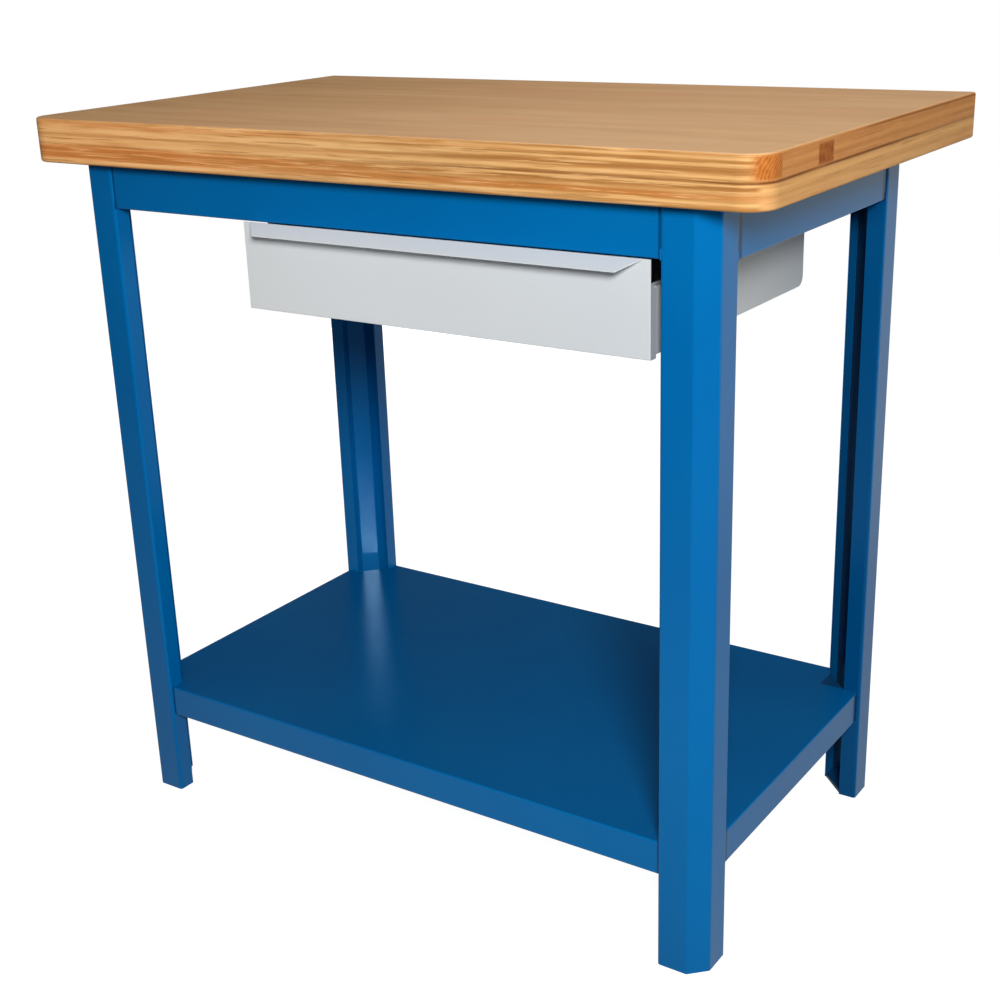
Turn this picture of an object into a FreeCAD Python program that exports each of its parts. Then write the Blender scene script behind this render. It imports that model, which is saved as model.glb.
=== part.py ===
"""Steel-framed workshop bench with a thick laminated worktop, a lower shelf and one hung drawer.

Millimetres. The origin is on the floor under the middle of the worktop, +X to the right, +Y to the
back and +Z up. The drawer slides out along -Y on two ball-bearing telescopic slides.
"""
import FreeCAD, Part
import math
import os
import re
import Sketcher

PARTS_FOLDER = "parts"
os.makedirs(PARTS_FOLDER, exist_ok=True)

# Driving dimensions. Each one becomes a named cell of the sheet "Size".
SIZES = {
    # worktop: two equal layers, glued
    "top_width": 1000,
    "top_depth": 600,
    "bench_height": 930,
    "layer_thickness": 27,
    "front_corner_radius": 30,
    "rear_corner_radius": 4,
    "worktop_round": 3,
    # frame, over the outer faces of the legs
    "frame_width": 878,
    "frame_depth": 518,
    "front_overhang": 20,
    "frame_sheet": 2,
    "inner_bend": 0.5,
    # legs: folded angle with chamfered corner and two lips
    "leg_size": 58,
    "leg_chamfer": 20,
    "leg_lip": 23,
    "leg_bend": 2,
    "foot_plate": 4,
    "anchor_hole": 11,
    "anchor_inset": 27,
    # aprons: channels between the legs
    "front_apron_height": 55,
    "side_apron_height": 62,
    "apron_flange": 25,
    "apron_setback": 2,
    "apron_hole": 7,
    "apron_hole_inset": 14,
    "long_apron_hole_pitch": 300,
    "short_apron_hole_pitch": 240,
    # screws up into the worktop
    "worktop_screw": 6,
    "worktop_screw_depth": 23,
    "worktop_screw_head": 11,
    "worktop_screw_head_height": 4,
    # shelf: pan with downturned edges
    "shelf_height": 160,
    "shelf_edge": 42.5,
    "shelf_return": 14,
    "shelf_sheet": 1.5,
    "shelf_setback": 4.5,
    "stiffener_width": 50,
    "stiffener_height": 24,
    "stiffener_brim": 16,
    # drawer front
    "drawer_width": 538,
    "drawer_gap": 10,
    "drawer_front_height": 102.5,
    "drawer_front_setback": 0.5,
    "drawer_headroom": 0.5,
    "drawer_sheet": 1.2,
    "front_return": 12,
    "side_return_height": 73,
    "front_bend": 1,
    # handle lip, folded forward and down from the top edge of the drawer front
    "lip_inset": 10,
    "lip_mitre": 20,
    "lip_reach": 20,
    "lip_drop": 10.5,
    # drawer box
    "box_height": 64,
    "box_length": 362,
    "box_lift": 7,
    # drawer housing
    "housing_width": 534,
    "housing_sheet": 1.5,
    "housing_lift": 3,
    "housing_front": 14,
    "housing_depth": 368,
    "housing_notch": 25,
    "housing_nose_height": 70,
    "housing_corner_radius": 12,
    "housing_flange": 20,
    "housing_back_height": 143,
    "housing_screw": 4,
    "housing_screw_depth": 18,
    "housing_screw_head": 9,
    "housing_screw_head_height": 3,
    "housing_screw_pitch": 140,
    "housing_screw_first": 60,
    # telescopic slides, with widths measured inwards from the housing side
    "slide_length": 350,
    "slide_height": 45,
    "slide_width": 12.7,
    "slide_sheet": 1.2,
    "slide_lift": 35,
    "slide_front": 16,
    "outer_reach": 9,
    "outer_lip": 3.5,
    "middle_gap": 2.6,
    "middle_reach": 9.6,
    "middle_height": 36.2,
    "middle_lip": 3.9,
    "inner_reach": 4.6,
    "inner_height": 27.4,
    "ball": 3,
    "ball_play": 0.1,
    "outer_ball_place": 4.6,
    "inner_ball_place": 6.1,
    "cage_sheet": 0.6,
    "outer_cage_width": 5.8,
    "inner_cage_width": 4,
    "cage_hole": 3.2,
    "cage_length": 150,
    "ball_pitch": 20,
    "rivet": 4,
    "rivet_head": 8,
    "rivet_head_height": 1.4,
    "rivet_tail": 7,
    "rivet_tail_height": 1.2,
    "rivet_pitch": 140,
}

doc = FreeCAD.newDocument("workshop_bench")
sheet = doc.addObject("Spreadsheet::Sheet", "Size")
for row, (alias, value) in enumerate(SIZES.items(), start=1):
    sheet.set(f"A{row}", alias)
    sheet.set(f"B{row}", str(value))
    sheet.setAlias(f"B{row}", alias)
doc.recompute()

# Places that several sub-parts share, as formulas over the sheet's aliases.
LEG_TOP = "bench_height - 2 * layer_thickness"
FRONT_FACE = "front_overhang - top_depth / 2"
REAR_FACE = "front_overhang - top_depth / 2 + frame_depth"
FRAME_MIDDLE = "front_overhang - top_depth / 2 + frame_depth / 2"
APRON_BOTTOM = f"{LEG_TOP} - front_apron_height"
DRAWER_CENTRE = "frame_width / 2 - leg_size - drawer_gap - drawer_width / 2"
DRAWER_FACE = f"{FRONT_FACE} + drawer_front_setback"
DRAWER_TOP = f"{APRON_BOTTOM} - drawer_headroom"
DRAWER_BOTTOM = f"{DRAWER_TOP} - drawer_front_height"
HOUSING_BOTTOM = f"{DRAWER_BOTTOM} + housing_lift"
BOX_BOTTOM = f"{DRAWER_BOTTOM} + box_lift"
SLIDE_MIDDLE = f"{HOUSING_BOTTOM} + slide_lift"
SLIDE_FRONT = f"{DRAWER_FACE} + slide_front"
SLIDE_CENTRE = f"{SLIDE_FRONT} + slide_length / 2"
HOUSING_INSIDE = "(housing_width / 2 - housing_sheet)"
BOX_SIDE = f"({HOUSING_INSIDE} - slide_width)"

SIDES = {"left": -1, "right": 1}
sub_parts = []


def size(alias):
    """The plain number in one cell of the sheet."""
    return float(sheet.get(alias))


def formula(text):
    """An expression over the sheet's cells, from a text that names them by alias alone."""
    return re.sub(r"[a-z_]+", lambda word: f"Size.{word[0]}" if word[0] in SIZES else word[0], text)


def bind(thing, prop, text):
    """Drive one property of an object by a formula."""
    thing.setExpression(prop, formula(text))


def place(thing, x="0", y="0", z="0", turn=0):
    """Stand a sub-part's own origin at a point, turned about Z."""
    turned = FreeCAD.Rotation(FreeCAD.Vector(0, 0, 1), turn)
    thing.Placement = FreeCAD.Placement(FreeCAD.Vector(), turned)
    bind(thing, "Placement.Base.x", x)
    bind(thing, "Placement.Base.y", y)
    bind(thing, "Placement.Base.z", z)


def new_body(label):
    """An empty body, listed as a sub-part under its label."""
    body = doc.addObject("PartDesign::Body", label)
    body.Label = label
    sub_parts.append(body)
    return body


def plane_sketch(body, plane, level):
    """An empty sketch on one of the body's own origin planes, lifted to a level along its normal."""
    sketch = body.newObject("Sketcher::SketchObject", "Sketch")
    support = next(item for item in body.Origin.OriginFeatures if item.Role == plane)
    sketch.AttachmentSupport = [(support, "")]
    sketch.MapMode = "FlatFace"
    bind(sketch, "AttachmentOffset.Base.z", level)
    return sketch


def pin_point(sketch, line, point, x, y):
    """Hold one point of a sketch at x, y, both formulas."""
    for axis, text in (("DistanceX", x), ("DistanceY", y)):
        number = sketch.addConstraint(Sketcher.Constraint(axis, -1, 1, line, point, 1.0))
        bind(sketch, f"Constraints[{number}]", text)


def outline(body, plane, points, level="0"):
    """A closed sketch of straight lines through points given as pairs of formulas."""
    sketch = plane_sketch(body, plane, level)
    count = len(points)
    ring = [FreeCAD.Vector(math.cos(2 * math.pi * step / count), math.sin(2 * math.pi * step / count), 0)
            for step in range(count + 1)]
    for step in range(count):
        sketch.addGeometry(Part.LineSegment(ring[step], ring[step + 1]), False)
    for step in range(count):
        sketch.addConstraint(Sketcher.Constraint("Coincident", step, 2, (step + 1) % count, 1))
    for step, (x, y) in enumerate(points):
        pin_point(sketch, step, 1, x, y)
    return sketch


def circles(body, plane, centres, diameter, level="0"):
    """A sketch of equal circles round centres given as pairs of formulas."""
    sketch = plane_sketch(body, plane, level)
    for step, (x, y) in enumerate(centres):
        sketch.addGeometry(Part.Circle(FreeCAD.Vector(step, step, 0), FreeCAD.Vector(0, 0, 1), 1), False)
        pin_point(sketch, step, 3, x, y)
        number = sketch.addConstraint(Sketcher.Constraint("Diameter", step, 2.0))
        bind(sketch, f"Constraints[{number}]", diameter)
    return sketch


def rectangle(left, right, low, high):
    """The four corners of a rectangle, as pairs of formulas."""
    return [(left, low), (right, low), (right, high), (left, high)]


def pad(body, sketch, length, backwards=False):
    """Thicken a sketch, along its plane's normal or against it."""
    feature = body.newObject("PartDesign::Pad", "Pad")
    feature.Profile = sketch
    feature.Reversed = backwards
    bind(feature, "Length", length)
    doc.recompute()
    return feature


def pocket(body, sketch, length, backwards=False):
    """Cut a sketch into the body and make sure that it took something away."""
    before = body.Shape.Volume
    feature = body.newObject("PartDesign::Pocket", "Pocket")
    feature.Profile = sketch
    feature.Reversed = backwards
    bind(feature, "Length", length)
    doc.recompute()
    if not body.Shape.Volume < before:
        raise RuntimeError(f"{body.Label}: a pocket cut nothing")
    return feature


def round_edges(body, radius, wanted):
    """Round those edges of the body's last feature whose middle and direction are wanted."""
    base = body.Tip
    names = []
    for number, edge in enumerate(base.Shape.Edges, start=1):
        first, last = edge.ParameterRange
        middle = edge.valueAt((first + last) / 2)
        if wanted(middle, edge.tangentAt((first + last) / 2)):
            names.append(f"Edge{number}")
    feature = body.newObject("PartDesign::Fillet", "Fillet")
    feature.Base = (base, names)
    bind(feature, "Radius", radius)
    doc.recompute()
    return feature


def near(value, *targets):
    """Whether a length is one of the targets, within a hundredth of a millimetre."""
    return any(abs(value - target) < 0.01 for target in targets)


def upright(direction):
    return near(abs(direction.z), 1)


def add_solids(label, solids, x="0", y="0", z="0"):
    """A sub-part made of separate solids, such as a set of screws, built round its own origin."""
    group = doc.addObject("Part::Feature", label)
    group.Label = label
    group.Shape = Part.makeCompound(solids)
    place(group, x, y, z)
    sub_parts.append(group)


# ---------------------------------------------------------------------------------------------
# Worktop
# ---------------------------------------------------------------------------------------------

def long_apron_screws():
    """Plan places of the screws through the front and rear aprons."""
    rows = (f"{FRONT_FACE} + apron_hole_inset", f"{REAR_FACE} - apron_hole_inset")
    return [(f"{step} * long_apron_hole_pitch", row) for row in rows for step in (-1, 0, 1)]


def short_apron_screws():
    """Plan places of the screws through the left and right aprons."""
    return [(f"{side} * (frame_width / 2 - apron_hole_inset)",
             f"{FRAME_MIDDLE} + {step} * short_apron_hole_pitch / 2")
            for side in SIDES.values() for step in (-1, 1)]


def housing_screws():
    """Plan places of the screws through the top flanges of the drawer housing."""
    first = f"{DRAWER_FACE} + housing_front + housing_screw_first"
    return [(f"{DRAWER_CENTRE} + {side} * (housing_width / 2 - housing_flange / 2)",
             f"{first} + {step} * housing_screw_pitch")
            for side in SIDES.values() for step in range(3)]


def worktop_layer(label, bottom, rounded_top):
    """One layer of the worktop, with large front corners and one softened rim."""
    body = new_body(label)
    plan = rectangle("-top_width / 2", "top_width / 2", "-top_depth / 2", "top_depth / 2")
    pad(body, outline(body, "XY_Plane", plan), "layer_thickness")
    round_edges(body, "front_corner_radius", lambda middle, way: upright(way) and middle.y < 0)
    round_edges(body, "rear_corner_radius",
                lambda middle, way: upright(way) and near(middle.y, size("top_depth") / 2))
    rim = size("layer_thickness") if rounded_top else 0
    round_edges(body, "worktop_round", lambda middle, way: near(middle.z, rim))
    place(body, z=bottom)
    return body


def worktop():
    worktop_layer("worktop_upper_layer", f"{LEG_TOP} + layer_thickness", True)
    lower = worktop_layer("worktop_lower_layer", LEG_TOP, False)
    frame_holes = circles(lower, "XY_Plane", long_apron_screws() + short_apron_screws(), "worktop_screw")
    pocket(lower, frame_holes, "worktop_screw_depth", True)
    housing_holes = circles(lower, "XY_Plane", housing_screws(), "housing_screw")
    pocket(lower, housing_holes, "housing_screw_depth", True)


# ---------------------------------------------------------------------------------------------
# Steel frame
# ---------------------------------------------------------------------------------------------

CORNERS = {
    "front_left": ("-frame_width / 2", FRONT_FACE, 0),
    "front_right": ("frame_width / 2", FRONT_FACE, 90),
    "rear_right": ("frame_width / 2", REAR_FACE, 180),
    "rear_left": ("-frame_width / 2", REAR_FACE, 270),
}
# Where the inner face of the 45 degree chamfer meets the inner faces beside it.
CHAMFER_INSIDE = "leg_chamfer + (sqrt(2) - 1) * frame_sheet"


def leg(corner):
    """Folded leg: lip, front face, chamfer, side face, lip, with the outer corner at its origin."""
    body = new_body(f"leg_{corner}")
    section = [
        ("leg_size", "leg_lip"),
        ("leg_size", "0"),
        ("leg_chamfer", "0"),
        ("0", "leg_chamfer"),
        ("0", "leg_size"),
        ("leg_lip", "leg_size"),
        ("leg_lip", "leg_size - frame_sheet"),
        ("frame_sheet", "leg_size - frame_sheet"),
        ("frame_sheet", CHAMFER_INSIDE),
        (CHAMFER_INSIDE, "frame_sheet"),
        ("leg_size - frame_sheet", "frame_sheet"),
        ("leg_size - frame_sheet", "leg_lip"),
    ]
    pad(body, outline(body, "XY_Plane", section), LEG_TOP)
    far = size("leg_size")
    skin = size("frame_sheet")
    inside = size("leg_chamfer") + (math.sqrt(2) - 1) * skin

    def outer_bend(middle, way):
        pair = sorted((middle.x, middle.y))
        return upright(way) and near(pair[0], 0) and near(pair[1], size("leg_chamfer"), far)

    def inner_bend(middle, way):
        pair = sorted((middle.x, middle.y))
        return upright(way) and near(pair[0], skin) and near(pair[1], inside, far - skin)

    round_edges(body, "frame_sheet + leg_bend", outer_bend)
    round_edges(body, "leg_bend", inner_bend)
    x, y, turn = CORNERS[corner]
    place(body, x, y, "0", turn)


def foot_plate(corner):
    """Plate welded into the lower end of a leg, with one hole for a floor anchor."""
    body = new_body(f"foot_plate_{corner}")
    plan = [
        (CHAMFER_INSIDE, "frame_sheet"),
        ("leg_size - frame_sheet", "frame_sheet"),
        ("leg_size - frame_sheet", "leg_lip"),
        ("leg_lip", "leg_size - frame_sheet"),
        ("frame_sheet", "leg_size - frame_sheet"),
        ("frame_sheet", CHAMFER_INSIDE),
    ]
    pad(body, outline(body, "XY_Plane", plan), "foot_plate")
    skin = size("frame_sheet")
    round_edges(body, "1.5 * leg_bend",
                lambda middle, way: upright(way) and near(min(middle.x, middle.y), skin))
    hole = circles(body, "XY_Plane", [("anchor_inset", "anchor_inset")], "anchor_hole")
    pocket(body, hole, "foot_plate", True)
    x, y, turn = CORNERS[corner]
    place(body, x, y, "0", turn)


def apron(label, height, span, hole_places, x, y, turn):
    """Channel between two legs, open inwards, its top flange drilled for worktop screws."""
    body = new_body(label)
    section = [
        ("0", "0"),
        ("apron_flange", "0"),
        ("apron_flange", "frame_sheet"),
        ("frame_sheet", "frame_sheet"),
        ("frame_sheet", f"{height} - frame_sheet"),
        ("apron_flange", f"{height} - frame_sheet"),
        ("apron_flange", height),
        ("0", height),
    ]
    pad(body, outline(body, "YZ_Plane", section, f"-{span} / 2"), span)
    skin = size("frame_sheet")
    high = size(height)
    round_edges(body, "frame_sheet + inner_bend",
                lambda middle, way: near(abs(way.x), 1) and near(middle.y, 0) and near(middle.z, 0, high))
    round_edges(body, "inner_bend",
                lambda middle, way: near(abs(way.x), 1) and near(middle.y, skin)
                and near(middle.z, skin, high - skin))
    inset = "apron_hole_inset - apron_setback"
    holes = circles(body, "XY_Plane", [(place_x, inset) for place_x in hole_places], "apron_hole", height)
    pocket(body, holes, "frame_sheet")
    place(body, x, y, f"{LEG_TOP} - {height}", turn)


def shelf():
    """Pan that fills the plan between the legs, its edges turned down and then inwards."""
    body = new_body("lower_shelf")
    edge_x = "(frame_width / 2 - shelf_setback)"
    edge_y = "(frame_depth / 2 - shelf_setback)"
    side_x = "(frame_width / 2 - leg_size)"
    side_y = "(frame_depth / 2 - leg_size)"
    lip_x = "(frame_width / 2 - leg_lip)"
    lip_y = "(frame_depth / 2 - leg_lip)"
    quarter = [(side_x, edge_y), (side_x, lip_y), (lip_x, side_y), (edge_x, side_y)]
    plan = [(f"-{x}", f"-{y}") for x, y in reversed(quarter)]
    plan += [(x, f"-{y}") for x, y in quarter]
    plan += [(x, y) for x, y in reversed(quarter)]
    plan += [(f"-{x}", y) for x, y in quarter]
    pad(body, outline(body, "XY_Plane", plan, "-shelf_sheet"), "shelf_sheet")
    # The turned-down edges: long ones front and rear, short ones left and right.
    for sign in ("-", ""):
        long_edge = rectangle(f"-{side_x}", side_x, f"{sign}{edge_y}", f"{sign}({edge_y} - shelf_sheet)")
        short_edge = rectangle(f"{sign}{edge_x}", f"{sign}({edge_x} - shelf_sheet)", f"-{side_y}", side_y)
        long_return = rectangle(f"-{side_x}", side_x, f"{sign}{edge_y}", f"{sign}({edge_y} - shelf_return)")
        short_return = rectangle(f"{sign}{edge_x}", f"{sign}({edge_x} - shelf_return)", f"-{side_y}", side_y)
        pad(body, outline(body, "XY_Plane", long_edge, "-shelf_edge"), "shelf_edge")
        pad(body, outline(body, "XY_Plane", short_edge, "-shelf_edge"), "shelf_edge")
        pad(body, outline(body, "XY_Plane", long_return, "-shelf_edge"), "shelf_sheet")
        pad(body, outline(body, "XY_Plane", short_return, "-shelf_edge"), "shelf_sheet")
    reach_x = size("frame_width") / 2 - size("shelf_setback")
    reach_y = size("frame_depth") / 2 - size("shelf_setback")

    def folded(middle, way):
        along = near(abs(way.x), 1) and near(abs(middle.y), reach_y)
        across = near(abs(way.y), 1) and near(abs(middle.x), reach_x)
        return (along or across) and near(middle.z, 0, -size("shelf_edge"))

    round_edges(body, "shelf_sheet + inner_bend", folded)
    place(body, y=FRAME_MIDDLE, z="shelf_height")


def shelf_stiffener():
    """Hat section spot-welded under the middle of the shelf, from one short edge to the other."""
    body = new_body("shelf_stiffener")
    half = "stiffener_width / 2"
    brim = "(stiffener_width / 2 + stiffener_brim)"
    section = [
        (f"-{brim}", "0"),
        (f"-{brim}", "-shelf_sheet"),
        (f"-{half}", "-shelf_sheet"),
        (f"-{half}", "-stiffener_height"),
        (half, "-stiffener_height"),
        (half, "-shelf_sheet"),
        (brim, "-shelf_sheet"),
        (brim, "0"),
        (f"{half} - shelf_sheet", "0"),
        (f"{half} - shelf_sheet", "shelf_sheet - stiffener_height"),
        (f"-({half} - shelf_sheet)", "shelf_sheet - stiffener_height"),
        (f"-({half} - shelf_sheet)", "0"),
    ]
    span = "(frame_width - 2 * shelf_setback - 2 * shelf_sheet)"
    pad(body, outline(body, "YZ_Plane", section, f"-{span} / 2"), span)
    place(body, y=FRAME_MIDDLE, z="shelf_height - shelf_sheet")


def hex_screw(x, y):
    """Hexagon-head screw pointing up: the head hangs below z = 0 and the shank stands above it."""
    height = size("worktop_screw_head_height")
    corner = size("worktop_screw_head") / math.sqrt(3)
    base = FreeCAD.Vector(x, y, -height)
    angles = [step * math.pi / 3 for step in range(7)]
    ring = [base + FreeCAD.Vector(corner * math.cos(angle), corner * math.sin(angle), 0) for angle in angles]
    head = Part.Face(Part.makePolygon(ring)).extrude(FreeCAD.Vector(0, 0, height))
    length = size("frame_sheet") + size("worktop_screw_depth")
    shank = Part.makeCylinder(size("worktop_screw") / 2, length, FreeCAD.Vector(x, y, 0))
    return head.fuse(shank).removeSplitter()


def worktop_screws():
    """The screws that hold the worktop down, up through the top flanges of all four aprons."""
    row = size("frame_depth") / 2 - size("apron_hole_inset")
    column = size("frame_width") / 2 - size("apron_hole_inset")
    long_pitch = size("long_apron_hole_pitch")
    short_pitch = size("short_apron_hole_pitch")
    places = [(step * long_pitch, side * row) for side in (-1, 1) for step in (-1, 0, 1)]
    places += [(side * column, step * short_pitch / 2) for side in (-1, 1) for step in (-1, 1)]
    add_solids("worktop_screws", [hex_screw(x, y) for x, y in places],
               y=FRAME_MIDDLE, z=f"{LEG_TOP} - frame_sheet")


def steel_frame():
    for corner in CORNERS:
        leg(corner)
        foot_plate(corner)
    long_span = "(frame_width - 2 * leg_size)"
    short_span = "(frame_depth - 2 * leg_size)"
    long_holes = [f"{step} * long_apron_hole_pitch" for step in (-1, 0, 1)]
    short_holes = [f"{step} * short_apron_hole_pitch / 2" for step in (-1, 1)]
    front = f"{FRONT_FACE} + apron_setback"
    rear = f"{REAR_FACE} - apron_setback"
    side_x = "(frame_width / 2 - apron_setback)"
    apron("front_apron", "front_apron_height", long_span, long_holes, "0", front, 0)
    apron("rear_apron", "front_apron_height", long_span, long_holes, "0", rear, 180)
    apron("left_apron", "side_apron_height", short_span, short_holes, f"-{side_x}", FRAME_MIDDLE, -90)
    apron("right_apron", "side_apron_height", short_span, short_holes, side_x, FRAME_MIDDLE, 90)
    shelf()
    shelf_stiffener()
    worktop_screws()


# ---------------------------------------------------------------------------------------------
# Drawer housing, hung under the worktop
# ---------------------------------------------------------------------------------------------

def housing_side(side):
    """Side plate with a notch that clears the front apron, and a top flange turned inwards."""
    hand = SIDES[side]
    body = new_body(f"housing_side_{side}")
    top = f"({LEG_TOP} - ({HOUSING_BOTTOM}))"
    profile = [
        ("0", "0"),
        ("housing_depth", "0"),
        ("housing_depth", top),
        ("housing_notch", top),
        ("housing_notch", "housing_nose_height"),
        ("0", "housing_nose_height"),
    ]
    skin = "housing_sheet"
    inner = f"{hand} * {HOUSING_INSIDE}"
    pad(body, outline(body, "YZ_Plane", profile, inner), skin, hand < 0)
    round_edges(body, "housing_corner_radius",
                lambda middle, way: near(abs(way.x), 1) and near(middle.y, size("housing_depth"))
                and near(middle.z, 0))
    flange = rectangle(f"{hand} * (housing_width / 2 - housing_flange)", f"{hand} * housing_width / 2",
                       "housing_notch", "housing_depth")
    pad(body, outline(body, "XY_Plane", flange, f"{top} - housing_sheet"), skin)
    holes = [(f"{hand} * (housing_width / 2 - housing_flange / 2)",
              f"housing_screw_first + {step} * housing_screw_pitch") for step in range(3)]
    pocket(body, circles(body, "XY_Plane", holes, "housing_screw", top), skin)
    place(body, DRAWER_CENTRE, f"{DRAWER_FACE} + housing_front", HOUSING_BOTTOM)


def housing_back():
    """Back plate between the two sides, with a top flange turned forwards."""
    body = new_body("housing_back")
    section = [
        ("0", "0"),
        ("housing_sheet", "0"),
        ("housing_sheet", "housing_back_height"),
        ("-housing_flange", "housing_back_height"),
        ("-housing_flange", "housing_back_height - housing_sheet"),
        ("0", "housing_back_height - housing_sheet"),
    ]
    # The flange is notched at both ends, where the flanges of the sides already are.
    pad(body, outline(body, "YZ_Plane", section, f"-{HOUSING_INSIDE}"), f"2 * {HOUSING_INSIDE}")
    for hand in SIDES.values():
        corner = rectangle(f"{hand} * (housing_width / 2 - housing_flange)", f"{hand} * housing_width / 2",
                           "-housing_flange", "housing_sheet")
        pocket(body, outline(body, "XY_Plane", corner, "housing_back_height"), "housing_sheet")
    place(body, DRAWER_CENTRE, f"{DRAWER_FACE} + housing_front + housing_depth - housing_sheet",
          f"{LEG_TOP} - housing_back_height")


def pan_screw(x, y):
    """Round-head screw pointing up: the head hangs below z = 0 and the shank stands above it."""
    height = size("housing_screw_head_height")
    head = Part.makeCylinder(size("housing_screw_head") / 2, height, FreeCAD.Vector(x, y, -height))
    rim = [edge for edge in head.Edges if near(edge.CenterOfMass.z, -height)]
    head = head.makeFillet(height / 2, rim)
    length = size("housing_sheet") + size("housing_screw_depth")
    shank = Part.makeCylinder(size("housing_screw") / 2, length, FreeCAD.Vector(x, y, 0))
    return head.fuse(shank).removeSplitter()


def housing_fixings():
    """The screws that hang the housing from the worktop."""
    column = size("housing_width") / 2 - size("housing_flange") / 2
    row = size("housing_screw_pitch")
    screws = [pan_screw(side * column, step * row) for side in (-1, 1) for step in range(3)]
    add_solids("housing_screws", screws, DRAWER_CENTRE,
               f"{DRAWER_FACE} + housing_front + housing_screw_first", f"{LEG_TOP} - housing_sheet")


# ---------------------------------------------------------------------------------------------
# Telescopic slides: outer member on the housing, inner member on the drawer, one between them
# ---------------------------------------------------------------------------------------------

def slide_member(label, side, section):
    """A rolled channel as long as the slide; its section is given as width in and height up."""
    hand = SIDES[side]
    body = new_body(f"{label}_{side}")
    turned = [(f"{hand} * ({HOUSING_INSIDE} - ({width}))", height) for width, height in section]
    pad(body, outline(body, "XZ_Plane", turned), "slide_length", True)
    place(body, DRAWER_CENTRE, SLIDE_FRONT, SLIDE_MIDDLE)


def mirrored_section(upper_half):
    """A whole channel section from the points of its upper half, listed from the back round."""
    lower_half = [(width, f"-({height})") for width, height in reversed(upper_half)]
    return upper_half + lower_half


def outer_member(side):
    half = "slide_height / 2"
    slide_member("slide_outer", side, mirrored_section([
        ("0", half),
        ("outer_reach", half),
        ("outer_reach", f"{half} - outer_lip"),
        ("outer_reach - slide_sheet", f"{half} - outer_lip"),
        ("outer_reach - slide_sheet", f"{half} - slide_sheet"),
        ("slide_sheet", f"{half} - slide_sheet"),
    ]))


def middle_member(side):
    half = "middle_height / 2"
    slide_member("slide_middle", side, mirrored_section([
        ("middle_gap", half),
        ("middle_reach", half),
        ("middle_reach", f"{half} - middle_lip"),
        ("middle_reach - slide_sheet", f"{half} - middle_lip"),
        ("middle_reach - slide_sheet", f"{half} - slide_sheet"),
        ("middle_gap + slide_sheet", f"{half} - slide_sheet"),
    ]))


def inner_member(side):
    half = "inner_height / 2"
    slide_member("slide_inner", side, mirrored_section([
        ("slide_width", half),
        ("inner_reach", half),
        ("inner_reach", f"{half} - slide_sheet"),
        ("slide_width - slide_sheet", f"{half} - slide_sheet"),
    ]))
    body = sub_parts[-1]
    holes = circles(body, "YZ_Plane", [(place_y, "0") for place_y in rivet_places("slide_length / 2")],
                    "rivet", f"{SIDES[side]} * {BOX_SIDE}")
    pocket(body, holes, "slide_sheet", SIDES[side] > 0)


def rivet_places(middle):
    """Where the rivets of one inner member stand along it, as formulas."""
    return [f"{middle} + {step} * rivet_pitch" for step in (-1, 0, 1)]


def ball_cage(race, side, channel_height):
    """Two strips of balls, one inside each flange of a channel that is as high as given."""
    x = SIDES[side] * (size("housing_width") / 2 - size("housing_sheet") - size(f"{race}_ball_place"))
    row_height = channel_height / 2 - size("slide_sheet") - size("ball_play") - size("ball") / 2
    strip_width = size(f"{race}_cage_width")
    length = size("cage_length")
    thickness = size("cage_sheet")
    count = int(length // size("ball_pitch"))
    along = [(step - (count - 1) / 2) * size("ball_pitch") for step in range(count)]
    solids = []
    for level in (-row_height, row_height):
        low = level - thickness / 2
        corner = FreeCAD.Vector(x - strip_width / 2, -length / 2, low)
        strip = Part.makeBox(strip_width, length, thickness, corner)
        holes = [Part.makeCylinder(size("cage_hole") / 2, thickness, FreeCAD.Vector(x, y, low))
                 for y in along]
        solids.append(strip.cut(Part.makeCompound(holes)).Solids[0])
        solids += [Part.makeSphere(size("ball") / 2, FreeCAD.Vector(x, y, level)) for y in along]
    add_solids(f"ball_cage_{race}_{side}", solids, DRAWER_CENTRE, SLIDE_CENTRE, SLIDE_MIDDLE)


def slides():
    for side in SIDES:
        outer_member(side)
        middle_member(side)
        inner_member(side)
        ball_cage("outer", side, size("slide_height"))
        ball_cage("inner", side, size("middle_height"))


# ---------------------------------------------------------------------------------------------
# Drawer
# ---------------------------------------------------------------------------------------------

def drawer_box():
    """Open tray, riveted to the inner members of both slides."""
    body = new_body("drawer_box")
    outside = rectangle(f"-{BOX_SIDE}", BOX_SIDE, "0", "box_length")
    inside = rectangle(f"-({BOX_SIDE} - drawer_sheet)", f"{BOX_SIDE} - drawer_sheet",
                       "drawer_sheet", "box_length - drawer_sheet")
    pad(body, outline(body, "XY_Plane", outside), "box_height")
    pocket(body, outline(body, "XY_Plane", inside, "box_height"), "box_height - drawer_sheet")
    middle = "slide_front + slide_length / 2 - drawer_sheet"
    height = f"{SLIDE_MIDDLE} - ({BOX_BOTTOM})"
    for hand in SIDES.values():
        holes = circles(body, "YZ_Plane", [(place_y, height) for place_y in rivet_places(middle)],
                        "rivet", f"{hand} * {BOX_SIDE}")
        pocket(body, holes, "drawer_sheet", hand < 0)
    place(body, DRAWER_CENTRE, f"{DRAWER_FACE} + drawer_sheet", BOX_BOTTOM)


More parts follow.
